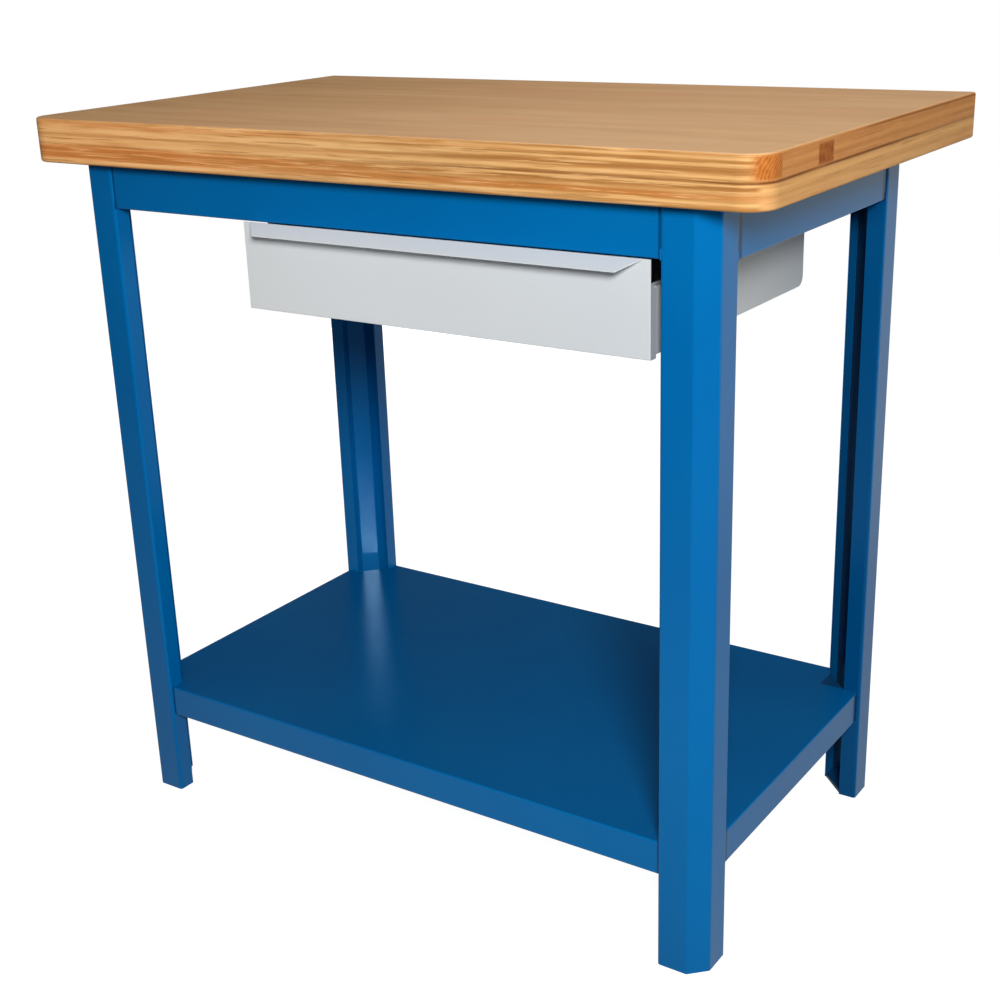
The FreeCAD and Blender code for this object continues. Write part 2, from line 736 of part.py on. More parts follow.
def drawer_front():
    """Folded front: panel, side and bottom returns, and the handle lip with mitred ends."""
    body = new_body("drawer_front")
    half = "drawer_width / 2"
    panel = rectangle(f"-{half}", half, "0", "drawer_front_height")
    pad(body, outline(body, "XZ_Plane", panel), "drawer_sheet", True)
    bottom = rectangle(f"-{half}", half, "0", "drawer_sheet")
    pad(body, outline(body, "XZ_Plane", bottom), "front_return", True)
    for sign in ("-", ""):
        edge = rectangle(f"{sign}{half}", f"{sign}({half} - drawer_sheet)", "0", "side_return_height")
        pad(body, outline(body, "XZ_Plane", edge), "front_return", True)
    slope = "sqrt(lip_reach ^ 2 + lip_drop ^ 2)"
    across = f"drawer_sheet * {slope} / lip_reach"
    lip = [
        ("0", "drawer_front_height"),
        ("-lip_reach", "drawer_front_height - lip_drop"),
        ("-lip_reach", f"drawer_front_height - lip_drop - {across}"),
        ("0", f"drawer_front_height - {across}"),
    ]
    lip_length = "(drawer_width - 2 * lip_inset)"
    pad(body, outline(body, "YZ_Plane", lip, f"-{lip_length} / 2"), lip_length)
    for sign in ("-", ""):
        mitre = [
            (f"{sign}{lip_length} / 2", "0"),
            (f"{sign}({lip_length} / 2 - lip_mitre)", "-lip_reach"),
            (f"{sign}{lip_length} / 2", "-lip_reach"),
        ]
        pocket(body, outline(body, "XY_Plane", mitre, "drawer_front_height"), "drawer_front_height / 2")
    side_x = size("drawer_width") / 2

    def folded(middle, way):
        side = upright(way) and near(abs(middle.x), side_x) and middle.z < size("side_return_height")
        low = near(abs(way.x), 1) and near(middle.z, 0)
        return near(middle.y, 0) and (side or low)

    round_edges(body, "front_bend", folded)
    place(body, DRAWER_CENTRE, DRAWER_FACE, DRAWER_BOTTOM)


def rivet(x, y, way):
    """Rivet with its head in the slide and its tail in the drawer, pointing along X as way says."""
    direction = FreeCAD.Vector(way, 0, 0)
    grip = size("slide_sheet") + size("drawer_sheet")
    seat = FreeCAD.Vector(x, y, 0)
    head_height = size("rivet_head_height")
    head = Part.makeCylinder(size("rivet_head") / 2, head_height, seat - direction * head_height, direction)
    shank = Part.makeCylinder(size("rivet") / 2, grip, seat, direction)
    tail_seat = seat + direction * grip
    tail = Part.makeCylinder(size("rivet_tail") / 2, size("rivet_tail_height"), tail_seat, direction)
    return head.fuse([shank, tail]).removeSplitter()


def slide_rivets():
    """The rivets between the inner members and the drawer box."""
    inner_web = size("slide_width") - size("slide_sheet")
    out = size("housing_width") / 2 - size("housing_sheet") - inner_web
    pitch = size("rivet_pitch")
    rivets = [rivet(side * out, step * pitch, -side) for side in (-1, 1) for step in (-1, 0, 1)]
    add_solids("slide_rivets", rivets, DRAWER_CENTRE, SLIDE_CENTRE, SLIDE_MIDDLE)


# ---------------------------------------------------------------------------------------------
# Build, check and write
# ---------------------------------------------------------------------------------------------

def check_and_export():
    doc.recompute()
    for thing in doc.Objects:
        if "Invalid" in thing.State or "Error" in thing.State:
            raise RuntimeError(f"{thing.Label} failed: {thing.State}")
    for thing in sub_parts:
        if thing.Shape.isNull() or not thing.Shape.isValid():
            raise RuntimeError(f"{thing.Label} has no valid shape")
        thing.Shape.exportStep(os.path.join(PARTS_FOLDER, f"{thing.Label}.step"))
        print(thing.Label, len(thing.Shape.Solids), round(thing.Shape.Volume / 1000, 2), "cm3")


worktop()
steel_frame()
for side in SIDES:
    housing_side(side)
housing_back()
housing_fixings()
slides()
drawer_box()
drawer_front()
slide_rivets()
check_and_export()
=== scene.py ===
import math

import bpy
from mathutils import Matrix, Vector


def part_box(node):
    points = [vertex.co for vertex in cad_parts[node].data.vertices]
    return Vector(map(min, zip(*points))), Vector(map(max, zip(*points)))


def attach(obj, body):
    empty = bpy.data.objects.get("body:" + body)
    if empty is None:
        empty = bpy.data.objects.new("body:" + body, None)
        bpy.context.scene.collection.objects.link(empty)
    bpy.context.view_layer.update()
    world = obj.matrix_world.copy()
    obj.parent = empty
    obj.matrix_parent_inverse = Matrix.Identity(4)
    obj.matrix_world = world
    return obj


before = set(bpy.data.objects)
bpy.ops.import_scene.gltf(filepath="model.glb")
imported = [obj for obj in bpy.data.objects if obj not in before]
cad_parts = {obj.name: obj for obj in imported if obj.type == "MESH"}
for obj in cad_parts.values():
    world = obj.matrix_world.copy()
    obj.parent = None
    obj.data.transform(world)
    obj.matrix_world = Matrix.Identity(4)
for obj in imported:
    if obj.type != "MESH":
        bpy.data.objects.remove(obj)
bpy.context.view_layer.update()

# ---------------------------------------------------------------- sizes, in metres
TOP_LEFT, TOP_FRONT, TOP_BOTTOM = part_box("worktop_lower_layer")[0]
TOP_RIGHT, TOP_REAR, TOP_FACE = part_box("worktop_upper_layer")[1]
TOP_THICKNESS = TOP_FACE - TOP_BOTTOM
GLUE_LINE = TOP_BOTTOM + TOP_THICKNESS / 2  # between the two boards of the worktop

LIP_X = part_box("front_apron")[1].x  # inner face of the legs' lips, from the middle
LONG_APRON_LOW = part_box("front_apron")[0].z
APRON_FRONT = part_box("front_apron")[0].y
APRON_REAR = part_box("rear_apron")[1].y
APRON_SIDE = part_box("right_apron")[1].x
SIDE_APRON_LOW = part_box("right_apron")[0].z
SIDE_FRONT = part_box("right_apron")[0].y
SIDE_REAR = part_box("right_apron")[1].y
SHELF_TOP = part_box("lower_shelf")[1].z

DRAWER_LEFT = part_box("drawer_front")[0].x
DRAWER_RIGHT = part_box("drawer_front")[1].x
FOLD_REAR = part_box("drawer_front")[1].y  # rear edge of the folds at the drawer front's ends

PAST = 0.001  # a step to either side of a face, to tell what lies before it from what lies behind
LONG_SEAM = 0.0035  # width of the shadowed strips at the ends of the front and rear faces
SIDE_SEAM = 0.011  # the same at the ends of the side faces
SEAM_SOFT = 0.002  # over which a strip fades
LONG_REACH = 0.006  # from the long aprons' faces inward, where such a strip shows
SIDE_REACH = 0.003  # the same from the side aprons' faces
JOINT = 0.0001  # left clear of shadow where the sheets touch

BEAD_RADIUS = 0.0012
BEAD_LENGTH = 0.012  # up the corners of the aprons, and along the shelf
BEAD_OVERHANG = 0.001  # below the aprons' lower edges
BEAD_INSET = 0.006  # from the legs' faces to the beads on the shelf


# ---------------------------------------------------------------- colours
def colour(red, green, blue):
    """A display colour, 0 to 255, as the linear colour that the shaders take."""
    def linear(value):
        value /= 255
        return value / 12.92 if value <= 0.04045 else ((value + 0.055) / 1.055) ** 2.4
    return (linear(red), linear(green), linear(blue), 1)


def grey(level):
    """A linear grey."""
    return (level, level, level, 1)


# ---------------------------------------------------------------- shader nodes
class Nodes:
    """Short calls for making and linking the nodes of one node tree."""

    def __init__(self, tree):
        self.tree = tree

    def node(self, kind, inputs=None, **settings):
        """A node with its settings, and with values or links put into its inputs."""
        made = self.tree.nodes.new(kind)
        for name, value in settings.items():
            setattr(made, name, value)
        for socket, value in (inputs or {}).items():
            self.feed(made.inputs[socket], value)
        return made

    def feed(self, socket, value):
        """Link an output to the socket, or give the socket a constant value."""
        if isinstance(value, bpy.types.NodeSocket):
            self.tree.links.new(value, socket)
        else:
            socket.default_value = value

    def math(self, operation, first, second=0.0):
        return self.node("ShaderNodeMath", {0: first, 1: second}, operation=operation).outputs[0]

    def product(self, first, second):
        return self.math("MULTIPLY", first, second)

    def split(self, vector):
        return self.node("ShaderNodeSeparateXYZ", {0: vector}).outputs

    def distance(self, vector, point):
        inputs = {0: vector, 1: point}
        return self.node("ShaderNodeVectorMath", inputs, operation="DISTANCE").outputs["Value"]

    def smooth(self, value, low, high, to_low=0.0, to_high=1.0):
        """The value, run smoothly from to_low to to_high as it goes from low to high."""
        inputs = {"Value": value, "From Min": low, "From Max": high,
                  "To Min": to_low, "To Max": to_high}
        return self.node("ShaderNodeMapRange", inputs, interpolation_type="SMOOTHSTEP").outputs[0]

    def ramp(self, value, stops):
        """Colours by value: stops is a list of (place, colour)."""
        made = self.node("ShaderNodeValToRGB", {"Fac": value})
        elements = made.color_ramp.elements
        while len(elements) < len(stops):
            elements.new(1.0)
        for element, (place, shade) in zip(elements, stops):
            element.position = place
            element.color = shade
        return made.outputs["Color"]

    def mix(self, factor, first, second, blend="MIX"):
        """Two colours, mixed or blended by a factor."""
        made = self.node("ShaderNodeMix", data_type="RGBA", blend_type=blend)
        for place, value in ((0, factor), (6, first), (7, second)):
            self.feed(made.inputs[place], value)
        return made.outputs[2]

    def met_by(self, *rays):
        """1 for the named kinds of ray, 0 for all others."""
        path = self.node("ShaderNodeLightPath").outputs
        met = path[f"Is {rays[0]} Ray"]
        for ray in rays[1:]:
            met = self.math("MAXIMUM", met, path[f"Is {ray} Ray"])
        return met


class Shader(Nodes):
    """A material with one Principled shader, and the textures that drive it."""

    def __init__(self, name, **constants):
        self.material = bpy.data.materials.new(name)
        self.material.use_nodes = True
        super().__init__(self.material.node_tree)
        self.surface = self.tree.nodes["Principled BSDF"]
        self.set(**constants)
        self.position = self.node("ShaderNodeTexCoord").outputs["Object"]
        self.normal = self.node("ShaderNodeNewGeometry").outputs["Normal"]

    def set(self, **values):
        """Feed the shader's sockets, named with _ for each space, and return the material."""
        for socket, value in values.items():
            self.feed(self.surface.inputs[socket.replace("_", " ")], value)
        return self.material

    def scaled(self, scale):
        """The position, stretched or squeezed along each axis."""
        inputs = {0: self.position, 1: scale}
        return self.node("ShaderNodeVectorMath", inputs, operation="MULTIPLY").outputs[0]

    def noise(self, scale, detail=4.0, roughness=0.5, distortion=0.0):
        """Noise from 0 to 1 with this many waves to the metre along each axis."""
        inputs = {"Vector": self.scaled(scale), "Scale": 1.0, "Detail": detail,
                  "Roughness": roughness, "Distortion": distortion}
        return self.node("ShaderNodeTexNoise", inputs).outputs["Fac"]

    def bump(self, height, distance):
        inputs = {"Height": height, "Distance": distance, "Strength": 1.0}
        return self.node("ShaderNodeBump", inputs).outputs[0]


# ---------------------------------------------------------------- worktop wood
CREAM = colour(238, 184, 118)
PALE_STRAW = colour(246, 196, 134)
PALE_ORANGE = colour(232, 162, 98)
STRAW = colour(216, 162, 102)
TAN = colour(202, 145, 86)
OCHRE = colour(198, 140, 78)
RUST = colour(203, 130, 66)
BROWN = colour(174, 118, 62)
DARK_GLUE = colour(128, 78, 38)

# Plies by height from the worktop's underside, in mm: on the long edges to the left and to the
# right, and on the end faces, where the upper board is browner than the lower one.
LEFT_PLIES = [
    (0.0, TAN), (1.8, STRAW), (4.0, PALE_STRAW), (6.0, PALE_STRAW), (8.0, PALE_ORANGE),
    (9.6, RUST), (13.6, RUST), (15.0, PALE_ORANGE), (16.4, RUST), (20.0, RUST),
    (22.0, PALE_ORANGE), (24.6, OCHRE), (27.4, PALE_STRAW), (30.0, CREAM), (32.6, PALE_STRAW),
    (35.0, STRAW), (36.6, TAN), (38.6, PALE_STRAW), (43.0, PALE_STRAW), (44.6, CREAM),
    (46.6, STRAW), (48.6, PALE_ORANGE), (51.0, STRAW), (53.4, STRAW),
]
RIGHT_PLIES = [
    (0.0, OCHRE), (4.4, TAN), (6.0, CREAM), (7.4, CREAM), (8.8, OCHRE), (11.4, RUST),
    (14.6, RUST), (16.2, STRAW), (17.2, STRAW), (18.8, OCHRE), (20.8, BROWN), (22.6, BROWN),
    (23.8, CREAM), (24.8, CREAM), (26.2, DARK_GLUE), (28.2, BROWN), (30.8, CREAM),
    (32.4, CREAM), (34.4, TAN), (37.0, BROWN), (40.4, OCHRE), (42.0, CREAM), (43.2, CREAM),
    (44.8, BROWN), (47.2, OCHRE), (48.8, CREAM), (50.0, CREAM), (51.6, BROWN), (53.4, OCHRE),
]
END_PLIES = [
    (0.0, colour(238, 184, 116)), (3.0, colour(230, 174, 112)), (9.0, colour(234, 178, 116)),
    (13.0, colour(220, 162, 98)), (16.0, colour(226, 170, 108)), (20.0, colour(240, 184, 116)),
    (24.8, colour(220, 162, 100)), (26.2, DARK_GLUE), (27.4, DARK_GLUE),
    (28.8, colour(214, 146, 86)), (33.0, colour(216, 150, 88)), (36.6, colour(200, 132, 72)),
    (39.0, colour(216, 150, 88)), (42.0, colour(224, 156, 90)), (46.0, colour(206, 138, 78)),
    (49.4, colour(210, 142, 80)), (52.6, colour(200, 136, 78)), (53.4, colour(214, 156, 98)),
]

# Core blocks that show their end grain on the edges, front right, right, left and rear:
# low corner, high corner, pale and deep shade.
END_GRAIN_BLOCKS = [
    ((TOP_RIGHT - 0.014, TOP_FRONT - 0.01, GLUE_LINE + 0.0025),
     (TOP_RIGHT + 0.01, TOP_FRONT + 0.036, GLUE_LINE + 0.0245),
     colour(208, 130, 64), colour(178, 96, 34)),
    ((TOP_RIGHT - 0.01, TOP_FRONT + 0.122, GLUE_LINE + 0.002),
     (TOP_RIGHT + 0.01, TOP_FRONT + 0.159, GLUE_LINE + 0.0225),
     colour(190, 112, 54), colour(136, 68, 22)),
    ((TOP_LEFT - 0.01, TOP_FRONT + 0.36, GLUE_LINE - 0.024),
     (TOP_LEFT + 0.01, TOP_FRONT + 0.41, GLUE_LINE - 0.003),
     colour(212, 150, 96), colour(182, 118, 68)),
    ((TOP_LEFT + 0.29, TOP_REAR - 0.01, GLUE_LINE + 0.002),
     (TOP_LEFT + 0.35, TOP_REAR + 0.01, GLUE_LINE + 0.0235),
     colour(212, 142, 80), colour(184, 114, 58)),
]
BLOCK_SOFTNESS = (0.006, 0.002, 0.002)  # along each axis, over which a block's sides blend in
RING_DENSITY = 2000  # phase of the year rings, in radians to the metre


def by_height(plies):
    """Ramp stops from the underside, 0, to the top face, 1."""
    return [(height / 1000 / TOP_THICKNESS, shade) for height, shade in plies]


def plies_on_long_edges(wood, height):
    """A calm straw-coloured band over rust-coloured plies to the left, thin stripes to the right, and
    painted light that brightens the edge towards the left.
    """
    x = wood.split(wood.position)[0]
    across = wood.math("ADD", x, wood.product(wood.noise((3, 3, 60), 2), 0.6))
    left = wood.ramp(height, by_height(LEFT_PLIES))
    right = wood.ramp(height, by_height(RIGHT_PLIES))
    edge = wood.mix(wood.smooth(across, 0.2, 0.62), left, right)
    streaks = wood.noise((11, 11, 470), 4, 0.65)
    shades = wood.noise((4, 4, 95), 3, 0.55, 0.3)
    warmth = wood.noise((6, 6, 150), 2, 0.5)
    edge = wood.mix(wood.smooth(streaks, 0.52, 0.66, 0, 0.75), edge, BROWN)
    edge = wood.mix(wood.smooth(streaks, 0.48, 0.35, 0, 0.8), edge, PALE_STRAW)
    edge = wood.mix(wood.smooth(shades, 0.5, 0.7, 0, 0.6), edge, STRAW)
    edge = wood.mix(wood.smooth(shades, 0.46, 0.3, 0, 0.35), edge, OCHRE)
    edge = wood.mix(wood.smooth(warmth, 0.56, 0.74, 0, 0.5), edge, RUST)
    # Painted light: the edge is brighter towards the left, making up for the lamp light that falls off
    # there.
    return wood.mix(wood.smooth(x, 0.1, -0.45), edge, (1.32, 1.19, 1.12, 1), "MULTIPLY")


def plies_on_end_faces(wood, height):
    """Broad plies; the rim's line shows to the rear, and there the glue line fades."""
    y = wood.split(wood.position)[1]
    ends = wood.ramp(height, by_height(END_PLIES))
    grain = wood.noise((10, 10, 340), 4, 0.6)
    patches = wood.noise((7, 7, 60), 3, 0.5, 0.4)
    ends = wood.mix(wood.smooth(grain, 0.5, 0.75, 0, 0.5), ends, colour(164, 100, 50))
    ends = wood.mix(wood.smooth(patches, 0.5, 0.72, 0, 0.5), ends, colour(216, 150, 88))
    ends = wood.mix(wood.smooth(grain, 0.45, 0.25, 0, 0.4), ends, colour(238, 188, 124))
    rim = wood.product(wood.smooth(height, 0.925, 0.94), wood.smooth(height, 0.98, 0.965))
    rim = wood.product(rim, wood.smooth(y, -0.12, 0.0, 0, 0.8))
    ends = wood.mix(rim, ends, colour(150, 92, 46))
    glue = wood.product(wood.smooth(height, 0.46, 0.48), wood.smooth(height, 0.54, 0.52))
    glue = wood.product(glue, wood.smooth(y, 0.02, 0.2, 0, 0.75))
    return wood.mix(glue, ends, colour(208, 146, 90))


def end_grain(wood, base, low, high, pale, deep):
    """Cover one box of the board, from corner to corner, with a block's year rings."""
    mask = 1.0
    for value, start, end, soft in zip(wood.split(wood.position), low, high, BLOCK_SOFTNESS):
        mask = wood.product(mask, wood.smooth(value, start - soft, start + soft))
        mask = wood.product(mask, wood.smooth(value, end + soft, end - soft))
    heart = (low[0] + 0.006, high[1] + 0.012, low[2] - 0.004)  # of the tree, beside the block
    phase = wood.product(wood.distance(wood.position, heart), RING_DENSITY)
    wobble = wood.product(wood.noise((90, 90, 90), 4, 0.6), 9.0)
    rings = wood.math("SINE", wood.math("ADD", phase, wobble))
    speckle = wood.noise((140, 140, 140), 3, 0.6)
    patches = wood.math("ADD", wood.smooth(rings, -1, 1, 0.0, 0.3), speckle)
    return wood.mix(mask, base, wood.mix(wood.smooth(patches, 0.35, 1.0), pale, deep))


def veneer(wood, fine):
    """Top and bottom faces: long staves of nearly the same tone, with fine grain along them, and a
    painted sheen towards the right and front.
    """
    staves = wood.node("ShaderNodeTexBrick", {
        "Vector": wood.scaled((1, 1, 0)), "Scale": 1.0, "Color1": grey(0), "Color2": grey(1),
        "Mortar": grey(0.5), "Mortar Size": 0.0004, "Mortar Smooth": 0.2,
        "Brick Width": 0.42, "Row Height": 0.05}, offset=0.37)
    figure = wood.noise((2.6, 24, 1), 4, 0.5, 0.6)
    blotches = wood.noise((5, 9, 1), 3, 0.55)
    face = wood.ramp(figure, [(0.3, colour(190, 144, 97)), (0.5, colour(202, 156, 109)),
                              (0.7, colour(211, 167, 121))])
    face = wood.mix(wood.product(staves.outputs["Color"], 0.28), face, colour(216, 176, 130))
    face = wood.mix(wood.smooth(blotches, 0.52, 0.7, 0, 0.4), face, colour(208, 150, 108))
    x, y = wood.split(wood.position)[:2]
    # Painted sheen: paler towards the right and front, in place of a reflection.
    sheen_side = wood.math("SUBTRACT", x, wood.product(y, 0.3))
    face = wood.mix(wood.smooth(sheen_side, -0.5, 0.7, 0, 0.42), face, colour(222, 184, 144))
    face = wood.mix(wood.smooth(fine, 0.55, 0.8, 0, 0.22), face, colour(166, 118, 76))
    return wood.mix(wood.product(staves.outputs["Fac"], 0.22), face, colour(160, 116, 76))


def worktop_wood():
    """Thick laminated board: veneer on the faces, plies on the edges, a glue line half way up."""
    wood = Shader("worktop_wood", IOR=1.35, Specular_IOR_Level=0.12)
    above = wood.math("SUBTRACT", wood.split(wood.position)[2], TOP_BOTTOM)
    wave = wood.math("SUBTRACT", wood.noise((2.5, 2.5, 12), 2), 0.5)
    height = wood.math("ADD", wood.math("DIVIDE", above, TOP_THICKNESS), wood.product(wave, 0.03))
    normal = wood.split(wood.normal)
    on_end = wood.smooth(wood.math("ABSOLUTE", normal[0]), 0.55, 0.85)
    edges = wood.mix(on_end, plies_on_long_edges(wood, height), plies_on_end_faces(wood, height))
    for block in END_GRAIN_BLOCKS:
        edges = end_grain(wood, edges, *block)
    fine = wood.noise((22, 520, 520), 4, 0.65)
    on_face = wood.smooth(wood.math("ABSOLUTE", normal[2]), 0.6, 0.9)
    rough = wood.smooth(wood.noise((14, 60, 60), 3), 0.3, 0.7, 0.46, 0.56)
    return wood.set(Base_Color=wood.mix(on_face, edges, veneer(wood, fine)), Roughness=rough,
                    Normal=wood.bump(fine, 0.00008))


# ---------------------------------------------------------------- paints and metals
def enamel(name, body, pale, deep, rough, light_and_shade, **constants):
    """Sprayed paint on sheet steel: orange peel, uneven gloss, shades that vary by place, and painted
    light and shade laid over them.
    """
    paint = Shader(name, **constants)
    tone = paint.noise((2.5, 2.5, 2.5), 2, 0.5)
    smudge = paint.noise((6, 6, 4), 2, 0.5)
    shade = paint.mix(paint.smooth(tone, 0.35, 0.65), deep, body)
    shade = paint.mix(paint.smooth(smudge, 0.5, 0.75, 0, 0.5), shade, pale)
    uneven = paint.smooth(smudge, 0.3, 0.7, rough - 0.02, rough + 0.02)
    peel = paint.noise((420, 420, 420), 2, 0.4)
    return paint.set(Base_Color=light_and_shade(paint, shade), Roughness=uneven,
                     Normal=paint.bump(peel, 0.00003))


def drawer_painted_light_and_shade(paint, shade):
    """Painted light and shade: paler towards the drawer's left end, greyer on what looks right, above
    all on the fold.
    """
    x, y = paint.split(paint.position)[:2]
    # Painted light: paler towards the left end, where the lamps light it less.
    shade = paint.mix(paint.smooth(x, DRAWER_RIGHT, DRAWER_LEFT), shade, colour(240, 243, 245))
    # Painted shade: greyer on faces that look right, most on the fold beside the leg.
    shaded_right = paint.smooth(paint.split(paint.normal)[0], 0.6, 0.9)
    fold_shadow = paint.smooth(y, FOLD_REAR + 0.008, FOLD_REAR, 0.2, 0.55)
    return paint.mix(paint.product(shaded_right, fold_shadow), shade, colour(90, 104, 114))


def frame_painted_shade(paint, shade):
    """Painted shade: deeper on faces that look up, in strips where aprons and shelf meet the legs, and
    on and inside the rear right leg.
    """
    x, y = paint.split(paint.position)[:2]
    to_right, to_rear, upward = paint.split(paint.normal)
    # Painted shade: faces that look up, such as the shelf, are a deeper blue.
    shade = paint.mix(paint.smooth(upward, 0.8, 0.95, 0, 0.55), shade, colour(0, 84, 138))
    # Painted shade: the rear right leg's front-facing lip is a deeper blue.
    beside = paint.math("GREATER_THAN", x, LIP_X + PAST)
    at_leg = paint.product(beside, paint.math("GREATER_THAN", y, SIDE_REAR - PAST))
    lip_shade = paint.product(at_leg, paint.smooth(to_rear, -0.5, -0.8, 0, 0.6))
    shade = paint.mix(lip_shade, shade, colour(0, 48, 90))
    # Painted shadow: the inside of the rear right leg is nearly black.
    in_leg = paint.product(at_leg, paint.math("GREATER_THAN", y, SIDE_REAR + PAST))
    inward = paint.smooth(paint.math("ADD", to_right, to_rear), 0.2, -0.1, 0, 0.8)
    shade = paint.mix(paint.product(in_leg, inward), shade, colour(20, 28, 36))
    # Painted shadow: dark strips where the aprons and the shelf meet the legs.
    return paint.mix(seam_shadows(paint), shade, colour(0, 40, 78))


def seam_shadows(paint):
    """Strength of the shadowed strips where the aprons and the shelf meet the legs."""
    def strip(value, end, width):
        rising = paint.smooth(value, end - width, end - width + SEAM_SOFT)
        return paint.product(rising, paint.math("LESS_THAN", value, end - JOINT))

    x, y = paint.split(paint.position)[:2]
    across = paint.math("ABSOLUTE", x)
    middle = (SIDE_FRONT + SIDE_REAR) / 2
    along = paint.math("ABSOLUTE", paint.math("SUBTRACT", y, middle))
    outer = paint.math("GREATER_THAN", along, middle - APRON_FRONT - LONG_REACH)
    flank = paint.math("GREATER_THAN", across, APRON_SIDE - SIDE_REACH)
    at_long = paint.product(strip(across, LIP_X, LONG_SEAM), outer)
    at_sides = paint.product(strip(along, SIDE_REAR - middle, SIDE_SEAM), flank)
    return paint.math("MAXIMUM", paint.product(at_long, 0.7), paint.product(at_sides, 0.85))


def plated_steel():
    """Zinc-plated steel with the dull spangle of rolled sections."""
    zinc = Shader("zinc_steel", Metallic=1.0)
    spangle = zinc.node("ShaderNodeTexVoronoi", {"Vector": zinc.scaled((160, 90, 160)), "Scale": 1.0})
    cloud = zinc.noise((40, 12, 40), 4, 0.6)
    drawn = zinc.noise((900, 14, 900), 3, 0.5)
    shade = zinc.ramp(cloud, [(0.3, colour(168, 170, 172)), (0.7, colour(204, 205, 204))])
    shade = zinc.mix(zinc.product(spangle.outputs["Distance"], 0.3), shade, colour(150, 154, 160))
    return zinc.set(Base_Color=shade, Roughness=zinc.smooth(cloud, 0.3, 0.7, 0.3, 0.46),
                    Normal=zinc.bump(drawn, 0.00003))


def polished_steel():
    """Hardened balls, with the faint haze of grease."""
    steel = Shader("ball_steel", Metallic=1.0)
    haze = steel.noise((300, 300, 300), 3, 0.5)
    shade = steel.ramp(haze, [(0.3, colour(186, 186, 188)), (0.7, colour(214, 214, 214))])
    return steel.set(Base_Color=shade, Roughness=steel.smooth(haze, 0.3, 0.7, 0.12, 0.26))


MATERIALS = {
    "worktop_wood": worktop_wood(),
    "frame_paint": enamel(
        "frame_paint", colour(0, 111, 179), colour(3, 115, 183), colour(0, 105, 173), 0.23,
        frame_painted_shade, IOR=1.48, Specular_Tint=(0.15, 0.4, 0.9, 1)),
    "drawer_paint": enamel(
        "drawer_paint", colour(220, 225, 229), colour(224, 229, 232), colour(215, 220, 224), 0.36,
        drawer_painted_light_and_shade, IOR=1.5),
    "zinc_steel": plated_steel(),
    "ball_steel": polished_steel(),
}

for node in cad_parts.values():
    for place in node.material_slots:
        place.material = MATERIALS[place.material.name.split(".")[0]]


# ---------------------------------------------------------------- weld beads
def add_bead(vertices, faces, start, end):
    """A rippled weld bead from start to end, thinner at both ends."""
    rings, sides, ripples = 25, 12, 4
    blunt, ripple_height = 0.08, 0.14  # shares of the radius
    start, end = Vector(start), Vector(end)
    along = (end - start).normalized()
    across = along.orthogonal().normalized()
    other = along.cross(across)
    first = len(vertices)
    for i in range(rings):
        share = i / (rings - 1)
        taper = math.sqrt(max(0.0, 1 - (2 * share - 1) ** 4)) * (1 - blunt) + blunt
        ripple = 1 + ripple_height * abs(math.sin(math.pi * ripples * share))
        middle = start.lerp(end, share)
        for j in range(sides):
            turn = 2 * math.pi * j / sides
            outward = math.cos(turn) * across + math.sin(turn) * other
            vertices.append(middle + BEAD_RADIUS * taper * ripple * outward)
    for i in range(rings - 1):
        for j in range(sides):
            a = first + i * sides + j
            b = first + i * sides + (j + 1) % sides
            faces.append((a, b, b + sides, a + sides))
    last = first + (rings - 1) * sides
    faces.append(tuple(first + j for j in reversed(range(sides))))
    faces.append(tuple(last + j for j in range(sides)))


def weld_beads():
    """Short beads at the aprons' lower corners and on the shelf, where they meet the legs."""
    vertices, faces = [], []

    def up_a_corner(x, y, low):
        bottom = low - BEAD_OVERHANG
        add_bead(vertices, faces, (x, y, bottom + BEAD_LENGTH), (x, y, bottom))

    for side in (-1, 1):
        seam = side * LIP_X
        for face, inward in ((APRON_FRONT, 1), (APRON_REAR, -1)):
            up_a_corner(seam, face, LONG_APRON_LOW)
            near = face + inward * BEAD_INSET
            add_bead(vertices, faces, (seam, near, SHELF_TOP),
                     (seam, near + inward * BEAD_LENGTH, SHELF_TOP))
        for end in (SIDE_FRONT, SIDE_REAR):
            up_a_corner(side * APRON_SIDE, end, SIDE_APRON_LOW)
    mesh = bpy.data.meshes.new("frame_welds")
    mesh.from_pydata(vertices, [], faces)
    mesh.shade_smooth()
    mesh.materials.append(MATERIALS["frame_paint"])
    welds = bpy.data.objects.new("frame_welds", mesh)
    bpy.context.scene.collection.objects.link(welds)
    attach(welds, "frame")


weld_beads()


# ---------------------------------------------------------------- floor and room
FLOOR_HALF = 40.0  # from the middle to the floor's edges
FLOOR_LEVEL = -0.0004  # just under the feet
FLOOR_CLOTH = 0.22  # grey of the floor, as it lights the bench
FLOOR_SEEN = 0.965  # glow that makes the floor white to the eye
FLOOR_SHADED = 0.2  # grey added to the glow, which the bench's shadow takes away
FLOOR_IN_GLOSS = (1.0, 0.96, 0.75)  # tint of the floor that the paint mirrors
DIM_SPOT = (0.9, 0.3, 0)  # on the floor, right of the bench, where gloss mirrors less of it

# Brightness of the room by the sine of the elevation, as it lights surfaces and in gloss.
ROOM_LIGHT = [(0.0, 0.1), (0.5, 0.11), (1.0, 0.3)]
ROOM_IN_GLOSS = [(0.0, 1.0), (0.03, 0.5), (0.08, 0.12), (0.3, 0.04), (0.6, 0.04), (0.75, 0.4),
                 (1.0, 0.7)]


